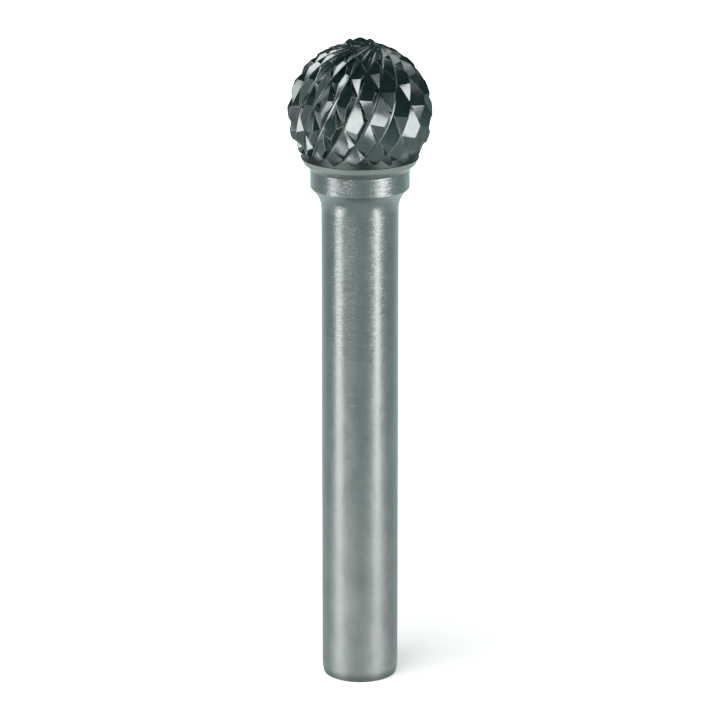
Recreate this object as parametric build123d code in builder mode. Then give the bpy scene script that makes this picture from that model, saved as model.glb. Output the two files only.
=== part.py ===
from build123d import *
from math import cos, radians, sin, tan
import os

os.makedirs("parts", exist_ok=True)

# Carbide burr with a ball head on a plain cylindrical shank.
# Origin at the centre of the shank's flat end, +Z along the axis to the tip of the ball.

# shank
shank_diameter = 6.0
shank_length = 40.0
end_relief = 0.13
end_relief_height = 0.85

# collar with its flared top, and the neck below it
collar_diameter = 7.7
collar_height = 1.45
collar_flare_height = 0.5
collar_flare_angle = 45
neck_radius = 2.15
neck_angle = 45

# silver solder between the collar and the head, widening with the ball
braze_thickness = 0.45

# ball head
ball_diameter = 11.2
head_length = 9.2
head_base_diameter = 9.16

# main flutes, right-hand
flute_count = 19
flute_phase = 6.4
flute_depth = 0.54
flute_floor = 0.12
flute_relief_angle = 21
flute_rake_angle = 53

# cross-cut grooves, left-hand
cross_count = 15
cross_phase = 9.8
cross_depth = 0.5
cross_relief_angle = 26
cross_rake_angle = 49

# Each groove is ground along a circle in a tilted plane beside the ball's centre. The circle is set
# back and lowered, so the groove is deepest just above the widest part of the ball and shallower
# towards the tip and the base.
path_tilt = 26
path_lead = 75
path_offset = 1.17
path_setback = 0.5
path_drop = 0.15
groove_clearance = 1.0

# straight V grooves across the very tip, which the others pass by
tip_count = 3
tip_depth = 0.35
tip_flank_angle = 35
tip_reach = 2.5

# plain root of the head, on which the grooves run out
root_diameter = 9.0
root_top_diameter = 8.8
root_height = 0.6

shank_radius = shank_diameter / 2
collar_radius = collar_diameter / 2
ball_radius = ball_diameter / 2
collar_edge = shank_length + collar_height
collar_top = collar_edge + collar_flare_height
collar_top_radius = collar_radius + collar_flare_height * tan(radians(collar_flare_angle))
head_bottom = collar_top + braze_thickness
head_base_radius = head_base_diameter / 2
ball_centre = head_bottom + head_length - ball_radius
ball_top = ball_centre + ball_radius
centre = Vector(0, 0, ball_centre)

neck_run = neck_radius * (1 - cos(radians(neck_angle)))
neck_rise = neck_radius * sin(radians(neck_angle))
flare_run = collar_radius - shank_radius - neck_run
flare_rise = flare_run / tan(radians(neck_angle))
neck_bottom = shank_length - flare_rise - neck_rise

# turned steel shank with its neck and collar
with BuildPart() as steel_shank:
    with BuildSketch(Plane.XZ) as shank_section:
        with BuildLine():
            end_face = Line((0, 0), (shank_radius - end_relief, 0))
            TangentArc((shank_radius, end_relief_height), end_face @ 1, tangent=(0, -1))
            side = Line((shank_radius, end_relief_height), (shank_radius, neck_bottom))
            neck = JernArc(side @ 1, tangent=(0, 1), radius=neck_radius, arc_size=-neck_angle)
            flare = Line(neck @ 1, (collar_radius, shank_length))
            rim = Line(flare @ 1, (collar_radius, collar_edge))
            lip = Line(rim @ 1, (collar_top_radius, collar_top))
            seat = Line(lip @ 1, (0, collar_top))
            Line(seat @ 1, (0, 0))
        make_face()
    revolve(axis=Axis.Z)

# solder layer
with BuildPart() as braze_joint:
    with BuildSketch(Plane.XZ) as braze_section:
        with BuildLine():
            Polyline(
                (0, collar_top),
                (collar_top_radius, collar_top),
                (head_base_radius, head_bottom),
                (0, head_bottom),
                close=True,
            )
        make_face()
    revolve(axis=Axis.Z)

# wheel path and groove section of one main flute, crossing the front of the ball
flute_axis = Vector(0, -1, 0).rotate(Axis.X, -path_tilt).rotate(Axis.Z, -path_lead)
flute_front = Vector(0, 0, 1).cross(flute_axis).normalized()
flute_up = flute_axis.cross(flute_front)
flute_path = centre + flute_axis * path_offset - flute_front * path_setback - flute_up * path_drop
flute_radius = path_setback + ((ball_radius - flute_depth) ** 2 - path_offset ** 2) ** 0.5
flute_bottom = flute_path + flute_front * flute_radius
flute_out = (flute_axis * path_offset + flute_front * (flute_radius - path_setback)).normalized()
flute_side = flute_axis.cross(flute_front).cross(flute_out)
flute_plane = Plane(origin=flute_bottom, x_dir=flute_side, z_dir=flute_side.cross(flute_out))

with BuildPart() as flute_ring:
    with BuildSketch(flute_plane) as flute_section:
        with BuildLine():
            Polyline(
                (-flute_floor / 2, 0),
                (flute_floor / 2, 0),
                (flute_floor / 2 + groove_clearance / tan(radians(flute_relief_angle)), groove_clearance),
                (-flute_floor / 2 - groove_clearance / tan(radians(flute_rake_angle)), groove_clearance),
                close=True,
            )
        make_face()
    revolve(axis=Axis(flute_path, flute_axis))

# the same for one cross-cut groove, leaning the other way
cross_axis = Vector(0, -1, 0).rotate(Axis.X, -path_tilt).rotate(Axis.Z, path_lead)
cross_front = cross_axis.cross(Vector(0, 0, 1)).normalized()
cross_up = cross_front.cross(cross_axis)
cross_path = centre + cross_axis * path_offset - cross_front * path_setback - cross_up * path_drop
cross_radius = path_setback + ((ball_radius - cross_depth) ** 2 - path_offset ** 2) ** 0.5
cross_bottom = cross_path + cross_front * cross_radius
cross_out = (cross_axis * path_offset + cross_front * (cross_radius - path_setback)).normalized()
cross_side = cross_front.cross(cross_axis).cross(cross_out)
cross_plane = Plane(origin=cross_bottom, x_dir=cross_side, z_dir=cross_side.cross(cross_out))

with BuildPart() as cross_ring:
    with BuildSketch(cross_plane) as cross_section:
        with BuildLine():
            Polyline(
                (0, 0),
                (groove_clearance / tan(radians(cross_relief_angle)), groove_clearance),
                (-groove_clearance / tan(radians(cross_rake_angle)), groove_clearance),
                close=True,
            )
        make_face()
    revolve(axis=Axis(cross_path, cross_axis))

# groove across the tip of the ball
with BuildPart() as tip_groove:
    with BuildSketch(Plane.YZ) as tip_section:
        with BuildLine():
            Polyline(
                (0, ball_top - tip_depth),
                (groove_clearance / tan(radians(tip_flank_angle)), ball_top - tip_depth + groove_clearance),
                (-groove_clearance / tan(radians(tip_flank_angle)), ball_top - tip_depth + groove_clearance),
                close=True,
            )
        make_face()
    extrude(amount=tip_reach, both=True)

# carbide ball, fuller below its widest part, with its grooves and the plain root
with BuildPart() as carbide_head:
    with BuildSketch(Plane.XZ) as head_section:
        with BuildLine():
            base = Line((0, head_bottom), (head_base_radius, head_bottom))
            TangentArc((ball_radius, ball_centre), base @ 1, tangent=(0, -1))
            crown = CenterArc((0, ball_centre), ball_radius, 0, 90)
            Line(crown @ 1, base @ 0)
        make_face()
    revolve(axis=Axis.Z)
    with PolarLocations(0, tip_count, angular_range=180):
        add(tip_groove.part, mode=Mode.SUBTRACT)
    for flute in PolarLocations(0, flute_count, start_angle=flute_phase):
        with Locations(flute):
            add(flute_ring.part, mode=Mode.SUBTRACT)
    for groove in PolarLocations(0, cross_count, start_angle=cross_phase):
        with Locations(groove):
            add(cross_ring.part, mode=Mode.SUBTRACT)
    with BuildSketch(Plane.XZ) as root_section:
        Polygon(
            (0, head_bottom),
            (root_diameter / 2, head_bottom),
            (root_top_diameter / 2, head_bottom + root_height),
            (0, head_bottom + root_height),
            align=None,
        )
    revolve(axis=Axis.Z)

steel_shank.part.label = "steel_shank"
braze_joint.part.label = "braze_joint"
carbide_head.part.label = "carbide_head"

export_step(steel_shank.part, "parts/steel_shank.step")
export_step(braze_joint.part, "parts/braze_joint.step")
export_step(carbide_head.part, "parts/carbide_head.step")
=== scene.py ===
import bpy
import math
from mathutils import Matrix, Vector


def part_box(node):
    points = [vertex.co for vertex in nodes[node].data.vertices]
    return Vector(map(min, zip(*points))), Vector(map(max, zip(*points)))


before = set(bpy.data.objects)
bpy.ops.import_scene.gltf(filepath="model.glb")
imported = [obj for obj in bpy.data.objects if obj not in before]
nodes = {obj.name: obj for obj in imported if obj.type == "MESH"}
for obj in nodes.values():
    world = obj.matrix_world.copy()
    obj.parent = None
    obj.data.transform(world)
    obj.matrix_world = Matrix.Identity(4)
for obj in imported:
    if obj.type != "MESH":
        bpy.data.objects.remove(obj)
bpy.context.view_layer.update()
mm = 0.001
print("frame loaded:", ", ".join(sorted(nodes)))


# One output socket. Arithmetic on it adds the Math nodes that work it out.
class Wire:
    def __init__(self, tree, socket):
        self.tree = tree
        self.socket = socket

    def maths(self, operation, *values):
        made = self.tree.nodes.new("ShaderNodeMath")
        made.operation = operation
        for place, value in enumerate(values):
            plug(self.tree, made.inputs[place], value)
        return Wire(self.tree, made.outputs[0])

    def __add__(self, other):
        return self.maths("ADD", self, other)

    def __radd__(self, other):
        return self.maths("ADD", other, self)

    def __sub__(self, other):
        return self.maths("SUBTRACT", self, other)

    def __rsub__(self, other):
        return self.maths("SUBTRACT", other, self)

    def __mul__(self, other):
        return self.maths("MULTIPLY", self, other)

    def __rmul__(self, other):
        return self.maths("MULTIPLY", other, self)


def plug(tree, socket, value):
    if isinstance(value, Wire):
        tree.links.new(value.socket, socket)
    else:
        socket.default_value = value


# Adds nodes to a node tree, one call at a time.
class Wiring:
    def __init__(self, tree):
        self.tree = tree

    def node(self, kind, settings, sockets, out=0):
        made = self.tree.nodes.new("ShaderNode" + kind)
        for name, value in settings.items():
            if name == "stops":
                for element, (place, level) in zip(made.color_ramp.elements, value):
                    element.position = place
                    element.color = (level, level, level, 1)
            else:
                setattr(made, name, value)
        for name, value in sockets.items():
            plug(self.tree, made.inputs[name], value)
        return Wire(self.tree, made.outputs[out])

    def span(self, value, start, end, low=0.0, high=1.0, **settings):
        sockets = {"Value": value, "From Min": start, "From Max": end, "To Min": low, "To Max": high}
        return self.node("MapRange", settings, sockets)

    def mix(self, factor, first, second):
        return self.node("Mix", {"data_type": "RGBA"}, {"Factor": factor, 6: first, 7: second}, 2)

    def rayIs(self, kind):
        return self.node("LightPath", {}, {}, "Is " + kind + " Ray")


# A material with a Principled shader.
class Finish(Wiring):
    def __init__(self, name):
        self.material = bpy.data.materials.new(name)
        self.material.use_nodes = True
        super().__init__(self.material.node_tree)
        self.shader = self.tree.nodes["Principled BSDF"]

    def place(self):
        return self.node("TexCoord", {}, {}, "Object")

    def height(self):
        return self.node("SeparateXYZ", {}, {"Vector": self.place()}, "Z")

    def noise(self, stretch, detail, rough):
        spot = self.node("Mapping", {}, {"Vector": self.place(), "Scale": stretch})
        sockets = {"Vector": spot, "Scale": 1.0, "Detail": detail, "Roughness": rough}
        return self.node("TexNoise", {}, sockets)

    def ramp(self, factor, *stops):
        return self.node("ValToRGB", {"stops": stops}, {"Fac": factor})

    def bump(self, height, depth, **normal):
        return self.node("Bump", {}, {"Height": height, "Distance": depth, "Strength": 1.0, **normal})

    def set(self, **values):
        labels = {"baseColor": "Base Color", "emissionColor": "Emission Color"}
        for name, value in values.items():
            plug(self.tree, self.shader.inputs[labels.get(name, name.capitalize())], value)


def dress(node, finish):
    holder = nodes[node]
    holder.data.materials.clear()
    holder.data.materials.append(finish.material)


# Shank and collar: turned steel, lightly ground around the axis, coarser on the collar, dull in patches,
# duller towards the bottom end, which is painted paler as painted light; its foot is darkened with painted
# shade.
steelLook = {
    "colour": (0.435, 0.46, 0.455, 1),
    "darkColour": (0.32, 0.35, 0.345, 1),
    # Painted light: paler colours for the lower end of the shank.
    "paintedLightColour": (0.54, 0.56, 0.555, 1),
    "paintedLightDarkColour": (0.345, 0.37, 0.365, 1),
    # Painted shade: a dark colour for the shank's foot, where it stands on the floor.
    "footShadeColour": (0.17, 0.195, 0.19, 1),
    "roughness": 0.1,
    "ringRoughness": 0.1,
    "blotchRoughness": 0.14,
    "grainRoughness": 0.1,
    "lowEndRoughness": 0.24,
    "paintedLightTop": 30 * mm,
    "paintedLightCover": 0.8,
    "footShadeTop": 0.75 * mm,
    "footShadeFull": 0.25 * mm,
    "footShadeCover": 0.75,
    "neckDrop": 3.55 * mm,  # below the shank's top the marks start to get coarser here
    "collarDrop": 1.95 * mm,
    "markDepth": 0.035 * mm,
    "collarMarkDepth": 0.06 * mm,
}


def makeSteel(look):
    finish = Finish("turnedSteel")
    height = finish.height()
    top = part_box("steel_shank")[1][2]
    onCollar = finish.span(height, top - look["neckDrop"], top - look["collarDrop"])
    # Painted light: the lower end of the shank is painted paler towards the bottom, and is also made duller.
    litAndDullEnd = finish.span(height, look["paintedLightTop"], 0.0)
    # Painted shade: darkens the foot of the shank, where it stands on the floor.
    footShade = finish.span(height, look["footShadeTop"], look["footShadeFull"])
    rings = finish.noise((250, 250, 5200), 3.0, 0.6)
    scores = finish.noise((1500, 1500, 5400), 3.0, 0.6)
    blotches = finish.noise((420, 420, 300), 5.0, 0.65)
    grain = finish.noise((2600, 2600, 2600), 2.0, 0.5)
    patch = finish.ramp(blotches, (0.36, 0.0), (0.66, 1.0))
    depth = onCollar * (look["collarMarkDepth"] - look["markDepth"]) + look["markDepth"]
    marks = rings * 0.35 + scores * 0.35 + grain * 0.3
    worn = patch * 0.5 + rings * 0.2 + grain * 0.3
    colour = finish.mix(worn, look["darkColour"], look["colour"])
    paintedLightColour = finish.mix(worn, look["paintedLightDarkColour"], look["paintedLightColour"])
    colour = finish.mix(litAndDullEnd * look["paintedLightCover"], colour, paintedLightColour)
    roughness = rings * look["ringRoughness"] + blotches * look["blotchRoughness"]
    roughness = roughness + grain * look["grainRoughness"] + litAndDullEnd * look["lowEndRoughness"]
    finish.set(
        metallic=1.0,
        baseColor=finish.mix(footShade * look["footShadeCover"], colour, look["footShadeColour"]),
        roughness=roughness + look["roughness"],
        normal=finish.bump(marks, depth),
    )
    return finish


dress("steel_shank", makeSteel(steelLook))
print("shank dressed")

# Silver solder: a pale, slightly lumpy ring between the collar and the head.
solderLook = {
    "colour": (0.44, 0.475, 0.46, 1),
    "roughness": 0.4,
    "lumpRoughness": 0.2,
    "lumpDepth": 0.03 * mm,
}


def makeSolder(look):
    finish = Finish("silverSolder")
    lumps = finish.noise((900, 900, 900), 3.0, 0.6)
    finish.set(
        metallic=1.0,
        baseColor=look["colour"],
        roughness=lumps * look["lumpRoughness"] + look["roughness"],
        normal=finish.bump(lumps, look["lumpDepth"]),
    )
    return finish


dress("braze_joint", makeSolder(solderLook))

# Head: ground carbide, dark and glossy, with painted shade darkening its root where the teeth end, with
# finely rounded edges that catch the light.
carbideLook = {
    "colour": (0.255, 0.285, 0.28, 1),
    "darkColour": (0.14, 0.168, 0.165, 1),
    # Painted shade: a near-black colour for the head's root, where the teeth end.
    "rootShadeColour": (0.05, 0.066, 0.064, 1),
    "roughness": 0.12,
    "cloudRoughness": 0.12,
    "rootRoughness": 0.2,
    "rootShadeTop": 0.9 * mm,  # above the head's foot
    "rootShadeFull": 0.45 * mm,
    "rootShadeCover": 0.9,
    "scratchDepth": 0.006 * mm,
    "edgeRounding": 0.07 * mm,
}


def makeCarbide(look):
    finish = Finish("groundCarbide")
    cloud = finish.noise((1500, 1500, 1500), 4.0, 0.65)
    scratches = finish.noise((3800, 3800, 2400), 3.0, 0.6)
    edges = finish.node("Bevel", {"samples": 6}, {"Radius": look["edgeRounding"]})
    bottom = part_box("carbide_head")[0][2]
    # Painted shade: darkens the bottom band of the head, where the teeth end.
    rootShade = finish.span(finish.height(), bottom + look["rootShadeTop"], bottom + look["rootShadeFull"])
    colour = finish.mix(cloud, look["darkColour"], look["colour"])
    finish.set(
        metallic=1.0,
        baseColor=finish.mix(rootShade * look["rootShadeCover"], colour, look["rootShadeColour"]),
        roughness=cloud * look["cloudRoughness"] + rootShade * look["rootRoughness"] + look["roughness"],
        normal=finish.bump(scratches, look["scratchDepth"], Normal=edges),
    )
    return finish


dress("carbide_head", makeCarbide(carbideLook))
print("head dressed")

# Studio: a pale floor and a white backdrop, soft boxes around the tool and a soft lamp overhead.
# The metal mirrors the boxes, the dark room overhead, the lighter room below and the backdrop.
studio = {
    "floorSize": 6,
    "floorColour": (0.75, 0.75, 0.75, 1),
    "floorRoughness": 0.9,
    "near": 20 * mm,
    "nearGlow": 0.42,  # low enough to keep the tool's shadow
    "far": 120 * mm,
    "farGlow": 0.95,
    "overhead": 0.08,
    "below": 0.45,
    "behind": 0.36,
    "riseReach": 0.45,
    "backdropWay": (0, 0.9, -0.43),
    "backdropEdge": 0.4,
    "backdropFull": 0.95,
    "belowTint": (0.84, 1.0, 0.98, 1),
    "overheadTint": (0.4, 1.0, 0.95, 1),
    "boxes": [
        {"name": "leftBox", "turn": -44, "lift": 14, "wide": 60, "tall": 30, "level": 3.5},
        {"name": "leftLowBox", "turn": -67, "lift": -29, "wide": 22, "tall": 32, "level": 2.1},
        {"name": "rightBox", "turn": 53, "lift": 5, "wide": 40, "tall": 26, "level": 3.4},
        {"name": "rightLowBox", "turn": 54, "lift": -28, "wide": 14, "tall": 32, "level": 2.25},
        {"name": "rearTopBox", "turn": 150, "lift": 66, "wide": 44, "tall": 22, "level": 1.3},
        {"name": "leftRearBox", "turn": -140, "lift": 8, "wide": 26, "tall": 20, "level": 0.9},
        {"name": "rightTopBox", "turn": 98, "lift": 44, "wide": 34, "tall": 24, "level": 0.4},
        {"name": "frontTopBox", "turn": -12, "lift": 38, "wide": 30, "tall": 16, "level": 0.6},
    ],
    "aimHeight": 38 * mm,
    "boxDistance": 0.5,
    "boxColour": (1.0, 0.93, 0.94),
    "overheadWatts": 2.0,
    "overheadSize": 0.3,
    "overheadPlace": (-0.1, -0.1, 0.5),
}


def makeFloor(look):
    bpy.ops.mesh.primitive_plane_add(size=look["floorSize"], location=(0, 0, 0))
    floor = bpy.context.object
    floor.name = "floor"
    finish = Finish("paleFloor")
    away = finish.node("VectorMath", {"operation": "LENGTH"}, {0: finish.place()}, "Value")
    glow = finish.span(away, look["near"], look["far"], look["nearGlow"], look["farGlow"])
    seen = finish.rayIs("Camera") + finish.rayIs("Transmission")
    finish.shader.inputs["Emission Strength"].default_value = 1.0
    finish.set(
        baseColor=look["floorColour"],
        roughness=look["floorRoughness"],
        emissionColor=finish.mix(seen, (0, 0, 0, 1), glow),
    )
    floor.data.materials.append(finish.material)
    floor.visible_glossy = False
    floor.visible_shadow = False


def makeSurround(look):
    world = bpy.data.worlds.new("surround")
    bpy.context.scene.world = world
    world.use_nodes = True
    back = world.node_tree.nodes["Background"]
    wiring = Wiring(world.node_tree)
    spot = wiring.node("TexCoord", {}, {}, "Generated")

    def facing(way):
        return wiring.node("VectorMath", {"operation": "DOT_PRODUCT"}, {0: spot, 1: way}, "Value")

    smooth = {"interpolation_type": "SMOOTHSTEP"}
    rise = wiring.span(facing((0, 0, 1)), -look["riseReach"], look["riseReach"], **smooth)
    room = rise * (look["overhead"] - look["below"]) + look["below"]
    behind = facing(look["backdropWay"])
    backdrop = wiring.span(behind, look["backdropEdge"], look["backdropFull"], 0.0, look["behind"], **smooth)
    seen = wiring.rayIs("Camera") + wiring.rayIs("Transmission")
    strength = seen + (1 - seen) * (room + wiring.rayIs("Glossy") * backdrop)
    tint = wiring.mix(rise, look["belowTint"], look["overheadTint"])
    plug(world.node_tree, back.inputs["Strength"], strength)
    plug(world.node_tree, back.inputs["Color"], wiring.mix(seen, tint, (1, 1, 1, 1)))


def aimLamp(lamp, spot, target):
    holder = bpy.data.objects.new(lamp.name, lamp)
    holder.location = spot
    holder.rotation_euler = (target - spot).to_track_quat("-Z", "Y").to_euler()
    bpy.context.scene.collection.objects.link(holder)
    return holder


def makeLights(look):
    target = Vector((0, 0, look["aimHeight"]))
    for box in look["boxes"]:
        turn, lift = math.radians(box["turn"]), math.radians(box["lift"])
        way = Vector((math.sin(turn) * math.cos(lift), -math.cos(turn) * math.cos(lift), math.sin(lift)))
        lamp = bpy.data.lights.new(box["name"], "AREA")
        lamp.shape = "RECTANGLE"
        lamp.size = 2 * look["boxDistance"] * math.tan(math.radians(box["wide"] / 2))
        lamp.size_y = 2 * look["boxDistance"] * math.tan(math.radians(box["tall"] / 2))
        lamp.energy = box["level"] * math.pi * lamp.size * lamp.size_y
        lamp.color = look["boxColour"]
        aimLamp(lamp, target + way * look["boxDistance"], target).visible_camera = False
    lamp = bpy.data.lights.new("overheadLamp", "AREA")
    lamp.size = look["overheadSize"]
    lamp.energy = look["overheadWatts"]
    holder = aimLamp(lamp, Vector(look["overheadPlace"]), target)
    holder.visible_glossy = False
    holder.visible_camera = False


makeFloor(studio)
makeSurround(studio)
makeLights(studio)
print("studio made")

# Camera: at the photograph's viewpoint, looking slightly down at the middle of the tool.
view = {"pitch": 17.0, "distance": 298.6 * mm, "lookHeight": 25.95 * mm, "lens": 190.58}


def makeCamera(look):
    down = math.radians(look["pitch"])
    data = bpy.data.cameras.new("camera")
    data.lens = look["lens"]
    data.sensor_width = 36
    data.clip_start = 0.01
    holder = bpy.data.objects.new("camera", data)
    rise = look["distance"] * math.sin(down)
    holder.location = (0, -look["distance"] * math.cos(down), look["lookHeight"] + rise)
    holder.rotation_euler = (math.pi / 2 - down, 0, 0)
    bpy.context.scene.collection.objects.link(holder)
    bpy.context.scene.camera = holder


makeCamera(view)
bpy.context.scene.view_settings.view_transform = "Standard"
